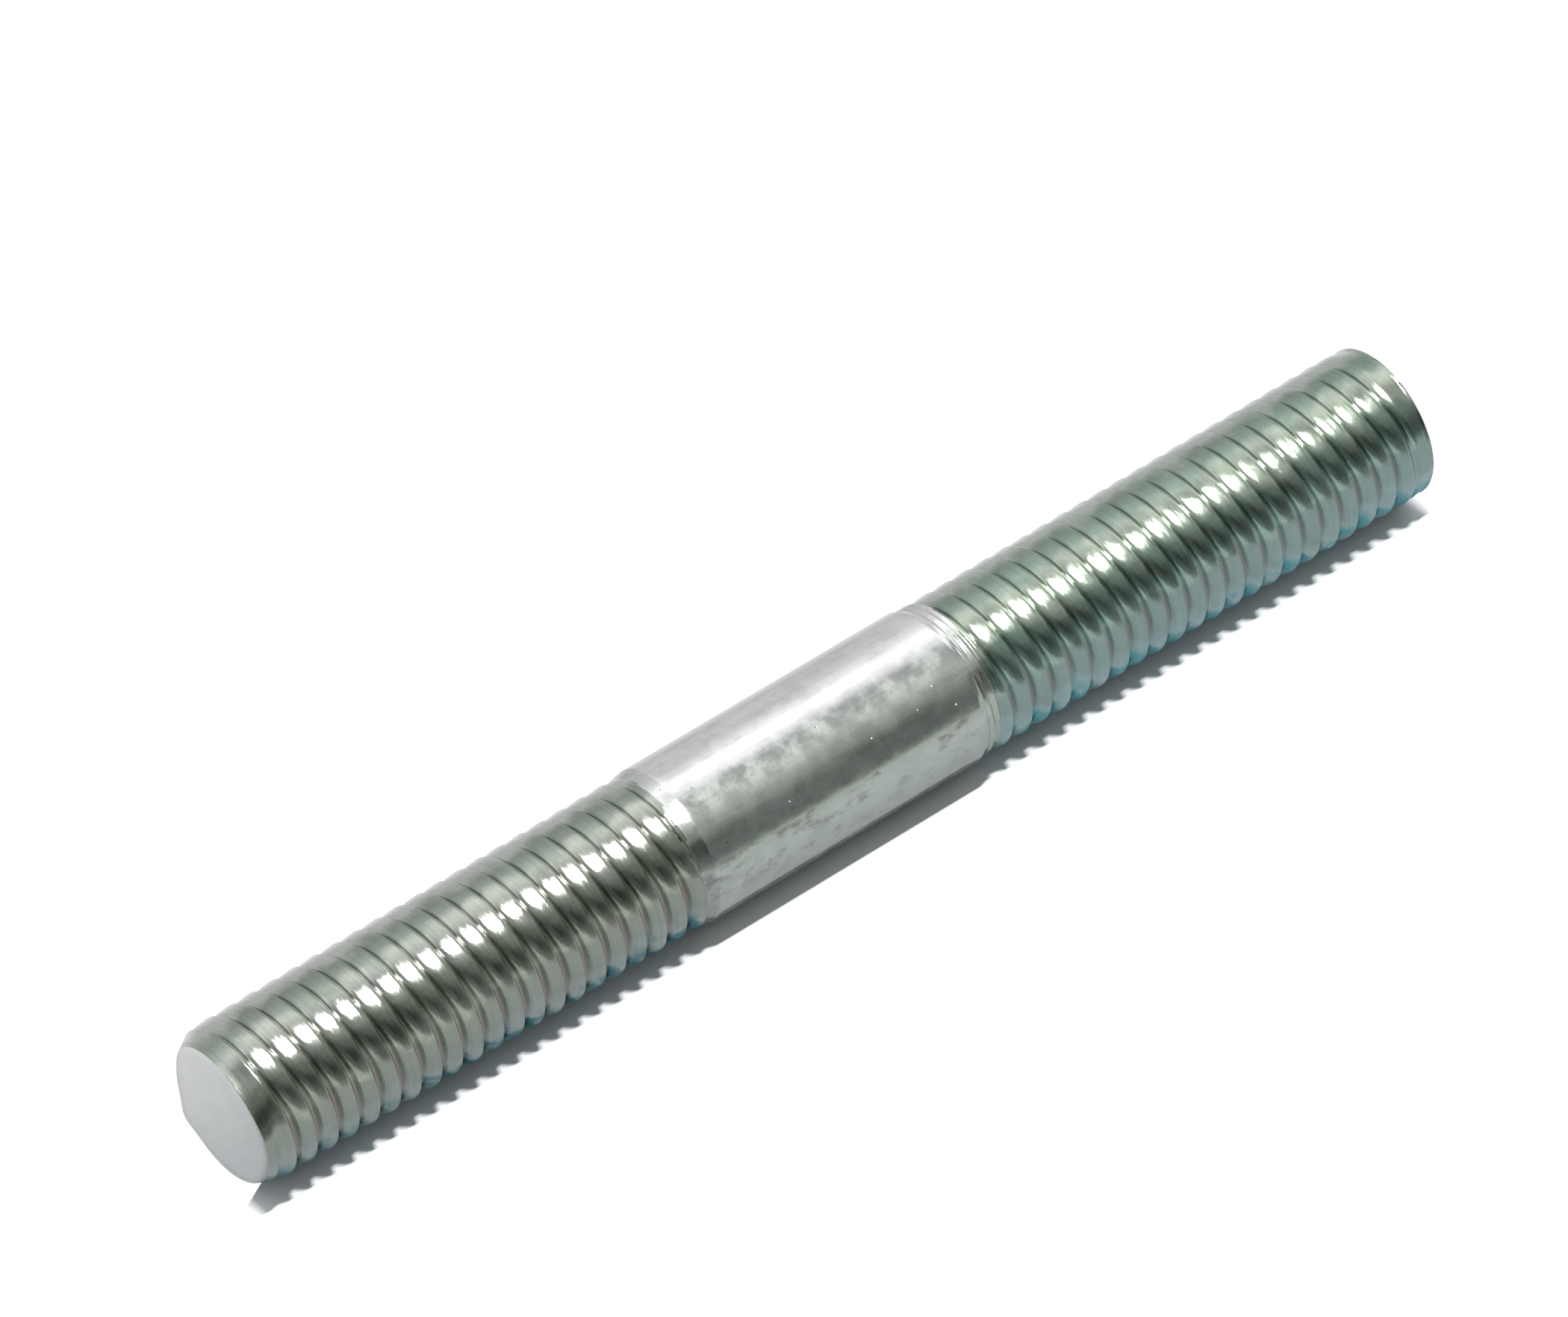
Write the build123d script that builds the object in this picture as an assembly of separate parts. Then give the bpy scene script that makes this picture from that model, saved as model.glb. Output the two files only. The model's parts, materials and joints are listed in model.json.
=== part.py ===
from build123d import *
import math
import os

# Double-ended threaded stud, one piece of round steel bar with a thread at each end.
# It stands on the end of its longer thread. Z runs along its axis, and Z = 0 is the end
# face that it stands on. From there up come the longer thread, a short run-out, the plain
# shank, a bevelled shoulder, the shorter thread and the faced and chamfered top.
# Each thread is held at its full outside diameter, as the blank is before its helical
# groove is rolled, with the run-out, neck, shoulder and chamfers that bound it.

# Lengths along the axis
long_thread_length = 40.3
run_out_length = 1.5
shank_length = 22.45
shoulder_length = 0.95
short_thread_length = 37.5

# Diameters
long_thread_diameter = 11.8
short_thread_diameter = 11.8
shank_diameter = 12.0
run_out_diameter = 11.6
neck_diameter = 10.3

# Length of the neck where the shorter thread stops under the shoulder
neck_length = 0.6

# Lean of a thread's flank from a plane across the axis, in degrees
flank_lean = 30.0

# Radius that softens the shank's upper edge, where the shoulder's bevel starts
shoulder_rounding = 0.35

# Chamfers on the two ends, as length along the axis and diameter of the face left
foot_chamfer_length = 0.6
foot_face_diameter = 11.3
top_chamfer_length = 1.45
top_face_diameter = 10.7


def radius(diameter):
    """Half of a diameter."""
    return diameter / 2


def stud_outline():
    """Half section of the stud, from the axis out to its surface, as a closed line."""
    shank_foot = long_thread_length + run_out_length
    shank_top = shank_foot + shank_length
    neck_foot = shank_top + shoulder_length
    neck_top = neck_foot + neck_length
    top = neck_foot + short_thread_length
    neck_depth = radius(short_thread_diameter) - radius(neck_diameter)
    flank_rise = neck_depth * math.tan(math.radians(flank_lean))
    points = [
        (0, 0),
        (radius(foot_face_diameter), 0),
        (radius(long_thread_diameter), foot_chamfer_length),
        (radius(long_thread_diameter), long_thread_length),
        (radius(run_out_diameter), long_thread_length),
        (radius(shank_diameter), shank_foot),
        (radius(shank_diameter), shank_top),
        (radius(neck_diameter), neck_foot),
        (radius(neck_diameter), neck_top),
        (radius(short_thread_diameter), neck_top + flank_rise),
        (radius(short_thread_diameter), top - top_chamfer_length),
        (radius(top_face_diameter), top),
        (0, top),
    ]
    return Polyline(*points, close=True)


def round_shoulder(stud):
    """The stud with its shank's upper edge, the highest edge of full shank size, rounded."""
    rims = stud.edges().filter_by(GeomType.CIRCLE).group_by(SortBy.RADIUS)[-1]
    return fillet(rims.sort_by(Axis.Z)[-1], shoulder_rounding)


blank = revolve(Plane.XZ * make_face(stud_outline()), Axis.Z)
stud = round_shoulder(blank)

os.makedirs("parts", exist_ok=True)
export_step(stud, "parts/stud.step")
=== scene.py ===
import json
import math

import bmesh
import bpy
import numpy as np
from mathutils import Matrix, Vector


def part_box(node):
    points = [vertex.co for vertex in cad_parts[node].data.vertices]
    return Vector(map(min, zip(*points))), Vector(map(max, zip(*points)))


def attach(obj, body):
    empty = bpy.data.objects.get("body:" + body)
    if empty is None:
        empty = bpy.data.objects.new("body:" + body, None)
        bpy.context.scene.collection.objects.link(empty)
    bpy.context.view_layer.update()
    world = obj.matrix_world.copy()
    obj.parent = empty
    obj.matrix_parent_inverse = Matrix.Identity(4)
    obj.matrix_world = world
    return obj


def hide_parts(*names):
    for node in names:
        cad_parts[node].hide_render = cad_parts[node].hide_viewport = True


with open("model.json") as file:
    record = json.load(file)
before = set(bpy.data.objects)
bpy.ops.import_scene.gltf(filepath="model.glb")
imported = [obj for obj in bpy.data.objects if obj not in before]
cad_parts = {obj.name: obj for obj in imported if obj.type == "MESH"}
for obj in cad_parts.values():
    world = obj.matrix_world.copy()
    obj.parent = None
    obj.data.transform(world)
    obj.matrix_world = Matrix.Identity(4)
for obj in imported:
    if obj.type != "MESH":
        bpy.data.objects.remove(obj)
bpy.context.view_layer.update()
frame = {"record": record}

# The stud's skin. The real one is a length of cold-drawn steel bar whose two ends were
# turned down a little, chamfered and rolled with a standard coarse M12 thread, right-hand.
# Each turn is a broad ridge, highest at its far edge, over a narrow groove. Lengths in mm.
mm = 0.001
mounts = {mount["name"]: mount for mount in frame["record"]["mounts"]}
stud_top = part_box("stud")[1].z / mm
shank_radius = mounts["shank"]["dims"]["r_mm"]
shank_middle = mounts["shank"]["pos_m"][2] / mm
shank_half_length = mounts["shank"]["dims"]["length_mm"] / 2
shank_foot = shank_middle - shank_half_length
shank_top = shank_middle + shank_half_length

pitch = 1.75
crest_radius = 5.88
edge_softness = 0.035

# The turn's outline, as distance from its far edge towards the near end, and radius. The bar
# ran a little off centre in the dies, so the groove is shallow on one side, deep on the other.
shallow_outline = (
    (0.0, 5.88),
    (0.3, 5.86),
    (0.9, 5.79),
    (1.25, 5.71),
    (1.42, 5.6),
    (1.52, 5.42),
    (1.58, 5.4),
    (1.75, 5.88),
)
deep_outline = (
    (0.0, 5.88),
    (0.25, 5.86),
    (0.6, 5.76),
    (0.9, 5.56),
    (1.12, 5.3),
    (1.28, 5.14),
    (1.42, 5.12),
    (1.75, 5.88),
)

# The groove is deepest at this turn. It starts to deepen at this cosine of the angle from
# there, and is wholly deep where the cosine is a span more. On the shallow side the crest
# line lies higher, by this share of the pitch.
deepest_turn = 0.54
shallow_cosine = -0.15
cosine_span = 1.1
shallow_shift = 0.17
outline_steps = 400
outline_count = 33

# Heights of one crest line of each thread where it crosses the +X side
short_crest_height = 101.2
long_crest_height = 39.23


def smooth_step(x):
    """Rises from 0 to 1 as x goes from 0 to 1: 3 x squared less 2 x cubed."""
    x = np.clip(x, 0, 1)
    return x * x * (3 - 2 * x)


def lower_of(a, b, blend):
    """The lower of a and b, less (blend - |a - b|) squared over 4 blend where they are close."""
    return np.minimum(a, b) - np.maximum(blend - np.abs(a - b), 0) ** 2 / (4 * blend)


def thread_form(height, turn, crest_height):
    """Radius of a thread at a height, in mm, and at an angle round the axis, in turns.

    The crest line rises by one pitch a turn. Over it stands the turn's outline, repeated
    every pitch and softened by a bell curve as wide as edge_softness. The outline goes from
    shallow to deep and back by a smooth step of the cosine of the turn. It is read from a
    table of outlines between the two, in straight lines from one entry to the next.
    """
    step = np.arange(outline_steps) / outline_steps
    away = np.minimum(step, 1 - step) * pitch
    bell = np.exp(-((away / edge_softness) ** 2) / 2)
    bell = np.fft.rfft(bell / bell.sum())
    shallow, deep = np.array(shallow_outline).T, np.array(deep_outline).T
    table = []
    for share in np.linspace(0, 1, outline_count):
        places, radii = (1 - share) * shallow + share * deep
        outline = np.fft.rfft(np.interp(step * pitch, places, radii))
        table.append(np.fft.irfft(outline * bell, outline_steps))
    table = np.pad(np.array(table), ((0, 1), (0, 1)), "wrap")
    cosine = np.cos(2 * np.pi * (turn - deepest_turn))
    share = smooth_step((cosine - shallow_cosine) / cosine_span)
    line = (height - crest_height) / pitch - turn - shallow_shift * (1 - share)
    row, column = share * (outline_count - 1), (line % 1) * outline_steps
    i, j = row.astype(int), column.astype(int) % outline_steps
    u, v = row - i, column - np.floor(column)
    this_one = table[i, j] * (1 - v) + table[i, j + 1] * v
    next_one = table[i + 1, j] * (1 - v) + table[i + 1, j + 1] * v
    return this_one * (1 - u) + next_one * u


# The shorter thread fades in under the chamfered end. Its last groove is only part formed:
# it rises out of the metal as it winds round, into a shoulder that slopes to the shank.
# The winds are turns along the helix, and each has the groove's depth limit there, in mm.
shoulder_foot = shank_top + 0.3
shoulder_length = 1.05
groove_winds = (-21.75, -21.45, -21.2, -21.0, -20.75, -20.6)
groove_depths = (0.0, 0.3, 0.14, 0.62, 0.85, 1.2)
groove_blend = 0.08
fade_in_top = 102.3
fade_in_length = 1.5
chamfer_length = 1.5
chamfer_radius = 5.86
chamfer_blend = 0.06

# The bar was sheared before it was chamfered, so its end's rim isn't round. It bulges where
# the thread's first crest runs out, is flattened on the far side and keeps one soft corner.
# Each bump has its rise in mm, and its middle and width in turns.
mean_rim_radius = 5.2
rim_bumps = (
    (0.55, 0.61, 0.1),
    (-0.55, 0.1, 0.1),
    (0.55, 0.222, 0.03),
)


def end_rim_radius(turn):
    """Radius of the end face's rim at a turn: the mean radius and a bell curve for each bump."""
    rim = mean_rim_radius
    for rise, middle, width in rim_bumps:
        away = (turn - middle + 0.5) % 1 - 0.5
        rim = rim + rise * np.exp(-((away / width) ** 2))
    return rim


def short_thread_radius(height, turn):
    """The shorter thread, faded in at its start, under the chamfer and out at the shoulder.

    A groove's wind is the number of the crest line below it plus the turn, so it counts on
    along the helix, and sets how deep the last groove may go. Down the shoulder that limit
    shrinks to nothing, and the bar widens to the shank, both in a straight line. The chamfer
    is a straight line from the rim.
    """
    formed = smooth_step((fade_in_top - height) / fade_in_length)
    depth = (crest_radius - thread_form(height, turn, short_crest_height)) * formed
    wind = np.floor((height - short_crest_height) / pitch - turn) + turn
    along = np.clip((height - shoulder_foot) / shoulder_length, 0, 1)
    limit = np.interp(wind, groove_winds, groove_depths) * along
    depth = np.maximum(lower_of(depth, limit, groove_blend), 0)
    cut = crest_radius + (shank_radius - crest_radius) * (1 - along) - depth
    rim = end_rim_radius(turn)
    chamfer = rim + (chamfer_radius - rim) * (stud_top - height) / chamfer_length
    return lower_of(cut, chamfer, chamfer_blend)


# The longer thread starts at a plain, slightly tapered collar with a thin burr, and is fully
# formed from collar_top up. It runs out towards the shank through a few fine ridges that the
# rolling die left.
collar_top = 2.1
collar_fade = 1.3
foot_chamfer_length = 1.6
foot_chamfer_blend = 0.04
foot_rim_radius = 5.68
burr_width = 0.12
burr_height = 0.11
run_out_foot = 38.7
run_out_length = 2.0
edge_foot = 40.7
edge_length = 0.4
ridge_spacing = pitch * 2 / 3
ridge_depth = 0.15
ridge_fade_in = 0.8
ridge_fade_out = 0.2


def long_thread_radius(height, turn):
    """The longer thread, faded in over the collar and out under the shank.

    On its run-out stand ridges, a squared sine of the height above a helix, between two
    smooth steps. The collar tapers in a straight line, and the burr is a bell curve at its
    foot.
    """
    left = 1 - smooth_step((height - run_out_foot) / run_out_length)
    left = left * smooth_step((height - collar_top) / collar_fade + 1)
    climb = smooth_step((height - edge_foot) / edge_length)
    blank = crest_radius + (shank_radius - crest_radius) * climb
    cut = blank - (crest_radius - thread_form(height, turn, long_crest_height)) * left
    ridges = np.sin(2 * np.pi * (height - pitch * turn) / ridge_spacing) ** 2
    shown = smooth_step((height - run_out_foot) / ridge_fade_in)
    shown = shown * smooth_step((edge_foot - height) / ridge_fade_out)
    chamfer = foot_rim_radius + (crest_radius - foot_rim_radius) * height / foot_chamfer_length
    burr = burr_height * np.exp(-((height / burr_width) ** 2))
    return lower_of(cut - ridge_depth * ridges * shown, chamfer, foot_chamfer_blend) + burr


# How close the skin's points lie: points round the axis, rows a pitch, how far the rows crowd
# towards crests and roots, and rings on the shank and on each end face. A side shorter than
# the shortest, in metres, has no length.
around = 100
rows_a_pitch = 18
row_crowding = 0.55
shank_rings = 40
end_rings = 8
shortest_side = 1e-9


def helical_rows(low, high, crest_height, radius_at):
    """A thread's skin from low to high, as rows of points that follow its helix.

    Row i starts i rows up from a crest line, crowded towards crests and roots by a sine,
    and climbs one pitch a turn, so it runs on into row i + rows_a_pitch. Heights are held
    between low and high, where the rows close into rings.
    """
    first = math.floor((low - crest_height) / pitch) - 1
    last = math.ceil((high - crest_height) / pitch) + 1
    step = np.arange(first * rows_a_pitch, last * rows_a_pitch + 1) / rows_a_pitch
    row = step - row_crowding * np.sin(4 * np.pi * step) / (4 * np.pi)
    turn = np.arange(around + 1) / around
    height = crest_height + pitch * (row[:, None] + turn[None, :])
    turn = np.broadcast_to(turn, height.shape)
    height = np.clip(height, low, high)
    return turn, height, radius_at(height, turn)


def shank_rows():
    """The shank's skin, as evenly spaced rings of one radius."""
    turn = np.arange(around + 1) / around
    height = np.linspace(shank_foot, shank_top, shank_rings)[:, None] + 0 * turn[None, :]
    return np.broadcast_to(turn, height.shape), height, np.full(height.shape, shank_radius)


def end_rows(end_height, radius_at):
    """A flat end face, as evenly spaced rings from the rim that radius_at gives to its middle."""
    turn = np.arange(around + 1) / around
    rim = radius_at(np.full(around + 1, end_height), turn)
    share = np.linspace(1, 0, end_rings)[:, None] + 0 * turn[None, :]
    return np.broadcast_to(turn, share.shape), np.full(share.shape, end_height), share * rim


def points_and_faces(turn, height, radius):
    """Points at that height and radius round the axis, in metres, and quads between rows.

    A quad is left out where two opposite sides both have no length.
    """
    angle = 2 * np.pi * turn
    points = np.stack([radius * np.cos(angle), radius * np.sin(angle), height], -1) * mm
    rows, columns = height.shape
    index = np.arange(rows * columns).reshape(rows, columns)
    quads = np.stack([index[:-1, :-1], index[:-1, 1:], index[1:, 1:], index[1:, :-1]], -1)
    quads = quads.reshape(-1, 4)
    corners = points.reshape(-1, 3)[quads]
    sides = np.linalg.norm(corners - np.roll(corners, 1, axis=1), axis=2)
    longer_ones = np.maximum(sides[:, :2], sides[:, 2:])
    kept = (longer_ones > shortest_side).all(axis=1)
    return points.reshape(-1, 3), quads[kept]


# The plain bar's finish covers the shank, the shoulder and the upper part of the run-out
bar_foot = run_out_foot + ridge_fade_in
bar_top = shoulder_foot + shoulder_length
thread_slot, bar_slot, end_slot = range(3)
stretches = [
    (helical_rows(shank_top, stud_top, short_crest_height, short_thread_radius), thread_slot),
    (shank_rows(), bar_slot),
    (helical_rows(0, shank_foot, long_crest_height, long_thread_radius), thread_slot),
    (end_rows(stud_top, short_thread_radius), end_slot),
    (end_rows(0.0, long_thread_radius), end_slot),
]

all_points = []
all_faces = []
all_slots = []
counted = 0
for (turn, height, radius), slot in stretches:
    points, faces = points_and_faces(turn, height, radius)
    all_points.append(points)
    all_faces.append(faces + counted)
    middles = points[faces, 2].mean(axis=1) / mm
    plain = (middles > bar_foot) & (middles < bar_top)
    all_slots.append(np.where(plain, bar_slot, slot))
    counted += len(points)
points = np.concatenate(all_points)
faces = np.concatenate(all_faces)
slots = np.concatenate(all_slots)

stud_mesh = bpy.data.meshes.new("plated_stud")
stud_mesh.from_pydata(points.tolist(), [], faces.tolist())
stud_mesh.polygons.foreach_set("material_index", slots.astype(np.int32))
stud_mesh.polygons.foreach_set("use_smooth", np.ones(len(faces), bool))
stud = bpy.data.objects.new("plated_stud", stud_mesh)
bpy.context.scene.collection.objects.link(stud)

# The stretches share their rims, and a thread's rows share their first and last columns, so
# points that are closer than this, in metres, become one
merge_distance = 2e-7
shortest_edge = 1e-7
work = bmesh.new()
work.from_mesh(stud_mesh)
bmesh.ops.remove_doubles(work, verts=work.verts, dist=merge_distance)
bmesh.ops.dissolve_degenerate(work, edges=work.edges, dist=shortest_edge)
bmesh.ops.recalc_face_normals(work, faces=work.faces)
work.to_mesh(stud_mesh)
work.free()

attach(stud, "root")
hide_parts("stud")


def linear(hex_colour):
    """An sRGB hex colour as linear red, green, blue and an alpha of 1."""
    parts = [int(hex_colour[i : i + 2], 16) / 255 for i in (1, 3, 5)]
    return [p / 12.92 if p <= 0.04045 else ((p + 0.055) / 1.055) ** 2.4 for p in parts] + [1]


def add(tree, kind, inputs=(), out=0, stops=(), **settings):
    """Adds a node with its settings, sets or links its inputs, and returns one output.

    The inputs are a row in the sockets' own order, or a dict from socket to value. The stops
    of a colour ramp are pairs of a position and a linear colour.
    """
    node = tree.nodes.new("ShaderNode" + kind)
    for name, value in settings.items():
        setattr(node, name, value)
    if not isinstance(inputs, dict):
        inputs = dict(enumerate(inputs))
    for socket, value in inputs.items():
        if isinstance(value, bpy.types.NodeSocket):
            tree.links.new(value, node.inputs[socket])
        else:
            node.inputs[socket].default_value = value
    if stops:
        while len(node.color_ramp.elements) < len(stops):
            node.color_ramp.elements.new(0.5)
        for element, (position, colour) in zip(node.color_ramp.elements, stops):
            element.position = position
            element.color = colour
    return node.outputs[out]


# Settings that many nodes share: a product, a sum, a smooth step of a value between two
# limits, and a mix or product of colours, with sockets 0 for the share and 6 and 7 for them
times = {"operation": "MULTIPLY"}
plus = {"operation": "ADD"}
smooth = {"interpolation_type": "SMOOTHSTEP"}
mixed = {"out": 2, "data_type": "RGBA"}
tinted = {"blend_type": "MULTIPLY", **mixed}


def begin_metal(name):
    """A new metal: its tree and shader, and place in mm, height, radius and lean as sockets.

    The lean is the angle in degrees from the -Y side round towards the -X side, so that the
    side the camera sees runs from -90 to 90 and the side near the table is past 60.
    """
    material = bpy.data.materials.new(name)
    material.use_nodes = True
    tree = material.node_tree
    shader = tree.nodes["Principled BSDF"]
    shader.inputs["Metallic"].default_value = 1.0
    place = add(tree, "TexCoord", out="Object")
    place = add(tree, "VectorMath", (place, (1 / mm,) * 3), **times)
    x, y, height = add(tree, "SeparateXYZ", (place,)).node.outputs
    flat = add(tree, "VectorMath", (place, (1, 1, 0)), **times)
    radius = add(tree, "VectorMath", (flat,), out="Value", operation="LENGTH")
    away = add(tree, "Math", (x, -1.0), **times)
    near = add(tree, "Math", (y, -1.0), **times)
    lean = add(tree, "Math", (away, near), operation="ARCTAN2")
    lean = add(tree, "Math", (lean, math.degrees(1)), **times)
    return material, tree, shader, place, height, radius, lean


def finish_metal(tree, shader, colour, roughness, relief, depth):
    """Links a metal's colour and roughness, and a relief of that depth in mm."""
    tree.links.new(colour, shader.inputs["Base Color"])
    tree.links.new(roughness, shader.inputs["Roughness"])
    bump = add(tree, "Bump", {"Height": relief, "Distance": depth * mm, "Strength": 1.0})
    tree.links.new(bump, shader.inputs["Normal"])


# Bright zinc plating with a clear blue passivation on the rolled thread. It gives the eye a
# smooth metal with a faint green tint that turns to blue-grey near the table, with fine
# streaks along the helix and pale, chalky, bluish crests underneath. Its colour also holds
# painted light: darker painted reflection bands round the stud, painted shade where the
# lamp's glints fall on the shorter thread, and brownish root lines on the lower side, which
# are a painted reflection.
# Sizes and heights are in mm, and leans in degrees.
patch_size = 2.4
patch_wobble = 40.0
speck_size = 0.35
streak_width = 0.12
streak_pace = 0.12
relief_depth = 0.006
full_turn = 360.0
between_threads = (50, 66)
hidden_side = (150, 100)
material, tree, shader, place, height, radius, lean = begin_metal("zinc_on_rolled_thread")
patches = add(tree, "TexNoise", {"Vector": place, "Scale": 1 / patch_size, "Detail": 3.0})
specks = add(tree, "TexNoise", {"Vector": place, "Scale": 1 / speck_size, "Detail": 2.0})
wobble = add(tree, "Math", (patches, 0.5), operation="SUBTRACT")
wobble = add(tree, "Math", (wobble, patch_wobble), **times)
wobbled = add(tree, "Math", (lean, wobble), **plus)

# Tints round the stud, each at its lean as a share of a turn plus a half. Besides the
# metal's green and blue-grey, they hold painted reflection, darker bands on the upper side
# and facing the camera, and on the shorter thread painted shade where the lamp's glints fall.
share_round = add(tree, "Math", (wobbled, full_turn), operation="DIVIDE")
share_round = add(tree, "Math", (share_round, 0.5), **plus)
long_thread_tints_and_painted_light = (
    (0.0, "#A8B0AE"),
    (0.25, "#B4B8B4"),
    (0.32, "#ACB4AE"),
    (0.355, "#84948A"),
    (0.39, "#7C8C82"),
    (0.415, "#98A296"),
    (0.44, "#B2BEAE"),
    (0.475, "#B4C2B2"),
    (0.5, "#889C8E"),
    (0.535, "#92AEA2"),
    (0.565, "#B4D0C4"),
    (0.585, "#9EB4B0"),
    (0.64, "#A0B8B6"),
    (0.69, "#BCDADC"),
    (0.74, "#9ED2DC"),
    (0.85, "#A8C0C6"),
    (1.0, "#A8B0AE"),
)
short_thread_tints_and_painted_light = (
    (0.0, "#A8ACAC"),
    (0.25, "#B4B6B4"),
    (0.32, "#B2B6B1"),
    (0.355, "#889289"),
    (0.39, "#889087"),
    (0.415, "#A2A8A0"),
    (0.44, "#9EA29A"),
    (0.475, "#A6ACA2"),
    (0.5, "#8E9588"),
    (0.535, "#9EA898"),
    (0.565, "#C6CEC0"),
    (0.585, "#A8B0A5"),
    (0.64, "#A6B0AA"),
    (0.69, "#BECCCA"),
    (0.74, "#8EBAC0"),
    (0.85, "#A8B8BC"),
    (1.0, "#A8ACAC"),
)
far_tint_and_painted_light, near_tint_and_painted_light = [
    add(tree, "ValToRGB", (share_round,), stops=[(at, linear(colour)) for at, colour in tints_and_painted_light])
    for tints_and_painted_light in (long_thread_tints_and_painted_light, short_thread_tints_and_painted_light)
]
nearness = add(tree, "MapRange", (height, *between_threads), **smooth)
tint_and_painted_light = add(tree, "Mix", {0: nearness, 6: far_tint_and_painted_light, 7: near_tint_and_painted_light}, **mixed)

# Streaks: noise round a circle that the helix closes once a pitch, slow along the helix
winding = add(tree, "Math", (height, pitch), operation="DIVIDE")
turned = add(tree, "Math", (lean, full_turn), operation="DIVIDE")
winding = add(tree, "Math", (winding, turned), **plus)
winding = add(tree, "Math", (winding, 2 * math.pi), **times)
sine = add(tree, "Math", (winding,), operation="SINE")
cosine = add(tree, "Math", (winding,), operation="COSINE")
climb = add(tree, "Math", (height, streak_pace), **times)
circle = add(tree, "CombineXYZ", (sine, cosine, climb))
inputs = {"Vector": circle, "Scale": 1 / streak_width, "Detail": 3.0, "Roughness": 0.7}
streaks = add(tree, "TexNoise", inputs)
streaked = add(tree, "MapRange", (streaks, 0.3, 0.7, 0.85, 1.1), **smooth)
tint_and_painted_light = add(tree, "Mix", {0: 1.0, 6: tint_and_painted_light, 7: streaked}, **tinted)

# Painted reflection: a brownish tint in the roots on the lower side
seen_side = add(tree, "MapRange", (lean, *hidden_side), **smooth)
painted_reflection_in_roots = add(tree, "MapRange", (radius, 5.5, 5.1), **smooth)
lower_side = add(tree, "MapRange", (wobbled, 18, 44), **smooth)
for share in (lower_side, seen_side, 0.6):
    painted_reflection_in_roots = add(tree, "Math", (painted_reflection_in_roots, share), **times)
tint_and_painted_light = add(tree, "Mix", {0: painted_reflection_in_roots, 6: tint_and_painted_light, 7: linear("#A88E86")}, **mixed)

# Blue-green tarnish in small patches near the table, thinner at the near end
tarnished = add(tree, "MapRange", (wobbled, 60, 80), **smooth)
in_patches = add(tree, "MapRange", (patches, 0.44, 0.56), **smooth)
thinned = add(tree, "MapRange", (height, 88, 96, 0.85, 0.3), **smooth)
under_only = add(tree, "MapRange", (lean, 115, 90), **smooth)
for share in (in_patches, thinned, under_only):
    tarnished = add(tree, "Math", (tarnished, share), **times)
inputs = {0: nearness, 6: linear("#54B4C0"), 7: linear("#187C8C")}
tarnish = add(tree, "Mix", inputs, **mixed)
tint_and_painted_light = add(tree, "Mix", {0: tarnished, 6: tint_and_painted_light, 7: tarnish}, **mixed)

# Chalky crests near the table, which are less metallic and duller. Roots are duller too.
chalk = add(tree, "MapRange", (wobbled, 52, 74), **smooth)
on_crests = add(tree, "MapRange", (radius, 5.3, 5.7), **smooth)
for share in (on_crests, seen_side):
    chalk = add(tree, "Math", (chalk, share), **times)
metallic = add(tree, "MapRange", (chalk, 0.0, 1.0, 1.0, 0.35), **smooth)
tree.links.new(metallic, shader.inputs["Metallic"])
dull = add(tree, "MapRange", (patches, 0.35, 0.65, 0.13, 0.18), **smooth)
dull_chalk = add(tree, "Math", (chalk, 0.2), **times)
dull_roots = add(tree, "MapRange", (radius, 5.5, 5.2, 0.0, 0.2), **smooth)
for more in (dull_chalk, dull_roots):
    dull = add(tree, "Math", (dull, more), **plus)
relief = add(tree, "Math", (streaks, specks), **plus)
finish_metal(tree, shader, tint_and_painted_light, dull, relief, relief_depth)
stud_mesh.materials.append(material)

# The same plating on cold-drawn bar. It gives the eye a bright, slightly cloudy metal with
# faint straight lines along the bar, small white specks, dark pits and a patch of brown stain.
# Its tints round the bar are partly painted light: painted shade along the top and a lighter
# painted highlight band on the upper side.
cloud_size = 1.6
line_width = 0.22
line_stretch = 0.03
grain_size = 0.25
stain_size = 1.1
stain_stretch = 0.5
cells_a_mm = 1.1
shoulder_edge = 0.2
relief_depth = 0.004
# Tints round the bar, at leans as shares of a turn plus a half. They hold painted shade along the
# top and a lighter painted highlight band on the upper side.
bar_tints_and_painted_light = (
    (0.0, "#CED2D2"),
    (0.25, "#A9ABAA"),
    (0.3, "#BCBEBD"),
    (0.325, "#CACCCB"),
    (0.345, "#D3D5D4"),
    (0.42, "#D6D8D6"),
    (0.5, "#CED6CE"),
    (0.56, "#C6D2C8"),
    (0.6, "#CED8D2"),
    (0.75, "#CAD4D1"),
    (1.0, "#CED2D2"),
)
material, tree, shader, place, height, _, lean = begin_metal("zinc_on_drawn_bar")
inputs = {"Vector": place, "Scale": 1 / cloud_size, "Detail": 4.0, "Roughness": 0.6}
clouds = add(tree, "TexNoise", inputs)
drawn_out = add(tree, "VectorMath", (place, (1, 1, line_stretch)), **times)
inputs = {"Vector": drawn_out, "Scale": 1 / line_width, "Detail": 3.0, "Roughness": 0.6}
lines = add(tree, "TexNoise", inputs)
grain = add(tree, "TexNoise", {"Vector": place, "Scale": 1 / grain_size, "Detail": 2.0})
share_round = add(tree, "Math", (lean, full_turn), operation="DIVIDE")
share_round = add(tree, "Math", (share_round, 0.5), **plus)
stops = [(at, linear(colour)) for at, colour in bar_tints_and_painted_light]
tint_and_painted_light = add(tree, "ValToRGB", (share_round,), stops=stops)
lined = add(tree, "MapRange", (lines, 0.3, 0.7, 0.95, 1.02), **smooth)
clouded = add(tree, "MapRange", (clouds, 0.34, 0.6, 0.9, 1.02), **smooth)
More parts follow.
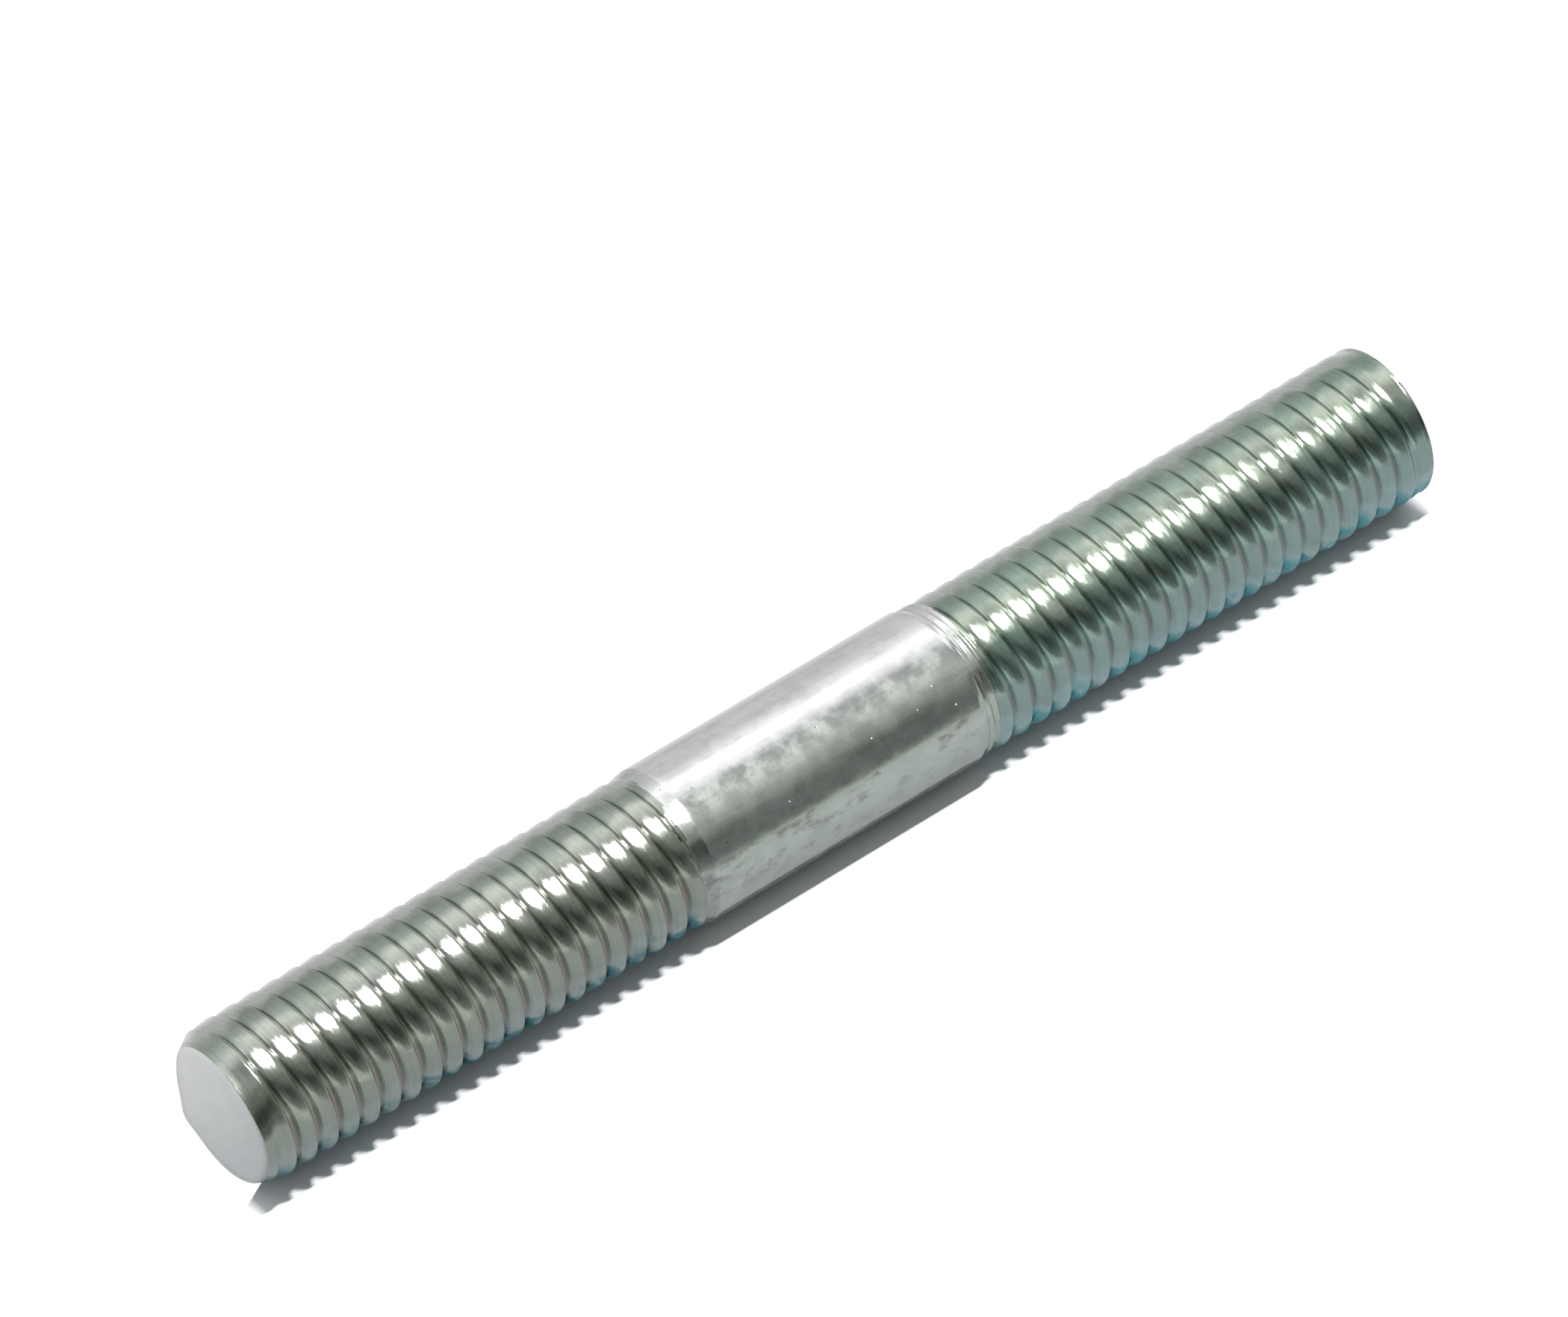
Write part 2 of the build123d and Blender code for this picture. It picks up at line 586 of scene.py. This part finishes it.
for share in (lined, clouded):
    tint_and_painted_light = add(tree, "Mix", {0: 1.0, 6: tint_and_painted_light, 7: share}, **tinted)

# The stain starts on the lower side and thins out towards the table
drawn_out = add(tree, "VectorMath", (place, (1, 1, stain_stretch)), **times)
inputs = {"Vector": drawn_out, "Scale": 1 / stain_size, "Detail": 4.0, "Roughness": 0.65}
stain = add(tree, "TexNoise", inputs)
stain = add(tree, "MapRange", (stain, 0.5, 0.68), **smooth)
lower_side = add(tree, "MapRange", (lean, 24, 32), **smooth)
thinned = add(tree, "MapRange", (lean, 70, 34, 0.2, 1.0), **smooth)
seen_side = add(tree, "MapRange", (lean, *hidden_side), **smooth)
for share in (lower_side, thinned, seen_side):
    stain = add(tree, "Math", (stain, share), **times)
stained = add(tree, "Math", (stain, 0.5), **times)
tint_and_painted_light = add(tree, "Mix", {0: stained, 6: tint_and_painted_light, 7: linear("#6E5A5C")}, **mixed)
shoulder = (height, shoulder_foot, shoulder_foot + shoulder_edge, 1.0, 0.84)
on_shoulder = add(tree, "MapRange", shoulder, **smooth)
tint_and_painted_light = add(tree, "Mix", {0: 1.0, 6: tint_and_painted_light, 7: on_shoulder}, **tinted)

# Specks and pits: some cells of a scatter hold a small round pit and some a white speck, and
# the specks lie only on the side towards the camera
cells = add(tree, "TexVoronoi", {"Vector": place, "Scale": cells_a_mm}).node.outputs
chosen = add(tree, "SeparateColor", (cells["Color"],))
spot = add(tree, "MapRange", (cells["Distance"], 0.12, 0.05), **smooth)
pit = add(tree, "Math", (chosen, 0.8), operation="GREATER_THAN")
pit = add(tree, "Math", (spot, pit), **times)
speck = add(tree, "Math", (chosen, 0.22), operation="LESS_THAN")
from_lean = add(tree, "MapRange", (lean, -6, 0), **smooth)
to_lean = add(tree, "MapRange", (lean, 22, 14), **smooth)
for share in (spot, from_lean, to_lean):
    speck = add(tree, "Math", (speck, share), **times)
pitted = add(tree, "Math", (pit, 0.55), **times)
tint_and_painted_light = add(tree, "Mix", {0: pitted, 6: tint_and_painted_light, 7: linear("#4A4A4C")}, **mixed)
tint_and_painted_light = add(tree, "Mix", {0: speck, 6: tint_and_painted_light, 7: linear("#FFFFFF")}, **mixed)

# The specks and a pale bloom near the table are less metallic, and the stain is duller
bloom = add(tree, "MapRange", (lean, 64, 88, 0.0, 0.6), **smooth)
bloom = add(tree, "Math", (bloom, seen_side), **times)
covered = add(tree, "Math", (speck, bloom), operation="MAXIMUM")
bare = add(tree, "Math", (1.0, covered), operation="SUBTRACT")
tree.links.new(bare, shader.inputs["Metallic"])
dull = add(tree, "MapRange", (clouds, 0.35, 0.65, 0.15, 0.24), **smooth)
dull_stain = add(tree, "Math", (stain, 0.12), **times)
dull = add(tree, "Math", (dull, dull_stain), **plus)
fine = add(tree, "Math", (grain, 0.6), **times)
relief = add(tree, "Math", (lines, fine), **plus)
pit_depth = add(tree, "Math", (pit, 1.5), **times)
relief = add(tree, "Math", (relief, pit_depth), operation="SUBTRACT")
finish_metal(tree, shader, tint_and_painted_light, dull, relief, relief_depth)
stud_mesh.materials.append(material)

# The same plating on the sheared ends. It gives the eye a pale, nearly matte grey, with a
# little painted shade on the side near the table, faint broad unevenness and fine parallel
# shear marks.
cloud_size = 3.0
mark_width = 0.3
mark_stretch = 0.12
relief_depth = 0.01
material, tree, shader, place, *_ = begin_metal("zinc_on_sheared_end")
clouds = add(tree, "TexNoise", {"Vector": place, "Scale": 1 / cloud_size, "Detail": 3.0})
drawn_out = add(tree, "VectorMath", (place, (1, mark_stretch, 1)), **times)
marks = add(tree, "TexNoise", {"Vector": drawn_out, "Scale": 1 / mark_width, "Detail": 3.0})
across = add(tree, "SeparateXYZ", (place,))
# Painted shade: the face is darker towards the table
painted_shade_towards_table = add(tree, "MapRange", (across, 5, -6), **smooth)
tint_and_painted_light = add(tree, "Mix", {0: painted_shade_towards_table, 6: linear("#D6D8D8"), 7: linear("#B6BABC")}, **mixed)
clouded = add(tree, "MapRange", (clouds, 0.3, 0.7, 0.97, 1.0), **smooth)
marked = add(tree, "MapRange", (marks, 0.3, 0.7, 0.97, 1.01), **smooth)
for share in (clouded, marked):
    tint_and_painted_light = add(tree, "Mix", {0: 1.0, 6: tint_and_painted_light, 7: share}, **tinted)
dull = add(tree, "MapRange", (clouds, 0.3, 0.7, 0.45, 0.55), **smooth)
relief = add(tree, "Math", (clouds, marks), **plus)
finish_metal(tree, shader, tint_and_painted_light, dull, relief, relief_depth)
stud_mesh.materials.append(material)

# The table that the stud lies on in the photo: a sheet of white paper along the stud's side,
# which touches the shank and ends a little way off on the camera's side. It is seen from its
# upper side only. Lit paper looks white to the camera, but grey in the metal. Lengths in metres.
table_tilt = math.radians(-48)
table_normal = np.array([math.cos(table_tilt), math.sin(table_tilt), 0])
table_across = np.array([-math.sin(table_tilt), math.cos(table_tilt), 0])
table_half_width = 1.5
table_near_width = 0.065
table_middle = -table_normal * shank_radius * mm

# The part shown to the camera starts just under the stud, and further off past its end. Each
# corner has its place along the stud and its place across the table.
shown_from = (
    (-table_half_width, -0.0012),
    (0.1, -0.0012),
    (0.1075, -0.0055),
    (table_half_width, -0.0055),
)
places = (
    [(-table_near_width, -table_half_width), (-table_near_width, table_half_width)]
    + [(across, along) for along, across in shown_from]
    + [(table_half_width, -table_half_width), (table_half_width, table_half_width)]
)
corners = [
    table_middle + across * table_across + np.array([0, 0, along]) for across, along in places
]
table_mesh = bpy.data.meshes.new("table")
table_mesh.from_pydata(
    [tuple(corner) for corner in corners], [], [(0, 2, 3, 4, 5, 1), (2, 6, 7, 5, 4, 3)]
)
table_mesh.polygons[1].material_index = 1
table = bpy.data.objects.new("table", table_mesh)
bpy.context.scene.collection.objects.link(table)


def paper(name, shown_to_camera):
    """White paper with one side, which may let the eye through to the white backdrop.

    The eye here is the camera and what it sees in metal or through glass.
    """
    material = bpy.data.materials.new(name)
    material.use_nodes = True
    tree = material.node_tree
    tree.nodes.remove(tree.nodes["Principled BSDF"])
    rays = add(tree, "LightPath").node.outputs
    inputs = {0: rays["Is Camera Ray"], 6: linear("#959595"), 7: linear("#D6D8D9")}
    colour = add(tree, "Mix", inputs, **mixed)
    sheet = add(tree, "BsdfDiffuse", (colour,))
    clear = add(tree, "BsdfTransparent")
    hidden = add(tree, "NewGeometry", out="Backfacing")
    if not shown_to_camera:
        for kind in ("Is Camera Ray", "Is Glossy Ray", "Is Transmission Ray"):
            hidden = add(tree, "Math", (hidden, rays[kind]), operation="MAXIMUM")
    sided = add(tree, "MixShader", (hidden, sheet, clear))
    tree.links.new(sided, tree.nodes["Material Output"].inputs["Surface"])
    return material


# Beyond the stud the photo's background is plain white, with no shade on it
table_mesh.materials.append(paper("white_paper", True))
table_mesh.materials.append(paper("white_paper_beyond", False))

# The light: a bright window side beyond the stud, a dark room on the camera's side with one
# black thing in it, and one small lamp almost overhead, which gives the narrow, sharp shadow
# and the glints. The lamp is longer along the stud, so the shadows of the turns are softer.
world = bpy.data.worlds.new("studio")
bpy.context.scene.world = world
world.use_nodes = True
tree = world.node_tree

# How far a ray's direction points towards the camera, overhead, at the black thing and down
# through the table
black_lean = math.radians(68)
black_rise = math.radians(6)
black_way = math.cos(black_rise) * (
    math.cos(black_lean) * table_normal - math.sin(black_lean) * table_across
) + np.array([0, 0, math.sin(black_rise)])
way = add(tree, "TexCoord", out="Generated")
towards_camera, overhead, at_black, below = [
    add(tree, "VectorMath", (way, tuple(direction)), out="Value", operation="DOT_PRODUCT")
    for direction in (-table_across, table_normal, black_way, -table_normal)
]

# The room's brightness at angles in degrees from straight above the table, which are negative
# on the side away from the camera
tones = (
    (-180, 0.25),
    (-100, 0.4),
    (-86, 0.42),
    (-62, 0.4),
    (-42, 0.56),
    (-27, 0.94),
    (-14, 0.66),
    (2, 0.24),
    (12, 0.25),
    (28, 0.32),
    (46, 0.21),
    (66, 0.088),
    (100, 0.1),
    (120, 0.2),
    (180, 0.25),
)
lean = add(tree, "Math", (towards_camera, overhead), operation="ARCTAN2")
share_round = add(tree, "MapRange", (lean, -math.pi, math.pi))
stops = [((angle + 180) / 360, (tone, tone, tone, 1)) for angle, tone in tones]
room = add(tree, "ValToRGB", (share_round,), stops=stops)
room.node.color_ramp.interpolation = "EASE"

# The black thing is darkest in its middle, and fades out to its edge
black_edge = math.cos(math.radians(17))
black_middle = math.cos(math.radians(8))
room_strength = 2.0
black_strength = 0.6
fading = (at_black, black_edge, black_middle, room_strength, black_strength)
strength = add(tree, "MapRange", fading, **smooth)
around_it = tree.nodes["Background"]
tree.links.new(room, around_it.inputs["Color"])
tree.links.new(strength, around_it.inputs["Strength"])

# The white backdrop lies under the table's plane. Metal and glass show it there too, more and
# more from the first of these angles to the second.
backdrop_edge = math.sin(math.radians(8))
backdrop_middle = math.sin(math.radians(14))
blank = add(tree, "Background", {"Color": linear("#FFFFFF")})
rays = add(tree, "LightPath").node.outputs
under = add(tree, "MapRange", (below, backdrop_edge, backdrop_middle), **smooth)
either = (rays["Is Glossy Ray"], rays["Is Transmission Ray"])
mirrored = add(tree, "Math", either, operation="MAXIMUM")
mirrored = add(tree, "Math", (mirrored, under), **times)
seen = add(tree, "Math", (rays["Is Camera Ray"], mirrored), operation="MAXIMUM")
shown = add(tree, "MixShader", (seen, around_it.outputs[0], blank))
tree.links.new(shown, tree.nodes["World Output"].inputs["Surface"])

lamp_distance = 0.9
lamp_width = 0.03
lamp_length = 0.14
lamp_lean = math.radians(13)
lamp_watts = 10.5
light = bpy.data.lights.new("overhead_lamp", "AREA")
light.shape = "ELLIPSE"
light.size = lamp_length
light.size_y = lamp_width
light.energy = lamp_watts
lamp = bpy.data.objects.new("overhead_lamp", light)
bpy.context.scene.collection.objects.link(lamp)
lamp_way = Vector(math.cos(lamp_lean) * table_normal - math.sin(lamp_lean) * table_across)
stud_axis = Vector((0, 0, 1))
lamp_turn = Matrix((stud_axis, lamp_way.cross(stud_axis), lamp_way)).transposed()
lamp_place = stud_axis * shank_middle * mm + lamp_way * lamp_distance
lamp.matrix_world = Matrix.Translation(lamp_place) @ lamp_turn.to_4x4()

# The camera stands where the photo's did, turned about its view so that the stud, which
# stands upright here, lies on the photo's slant. Lengths in metres.
camera_place = (0.0, -0.675557, 0.363558)
camera_aim = (0.007012, 0.0, 0.04956)
camera_roll = math.radians(-120.536)
photo_width = 2100
focal_pixels = 14450.8
nearest_seen = 0.01

camera_data = bpy.data.cameras.new("camera")
camera_data.sensor_fit = "HORIZONTAL"
camera_data.sensor_width = 36
camera_data.lens = camera_data.sensor_width * focal_pixels / photo_width
camera_data.clip_start = nearest_seen
camera = bpy.data.objects.new("camera", camera_data)
bpy.context.scene.collection.objects.link(camera)
view = Vector(camera_place) - Vector(camera_aim)
upright = view.to_track_quat("Z", "Y").to_matrix().to_4x4()
roll = Matrix.Rotation(camera_roll, 4, "Z")
camera.matrix_world = Matrix.Translation(camera_place) @ upright @ roll
bpy.context.scene.camera = camera

bpy.context.scene.view_settings.view_transform = "Standard"
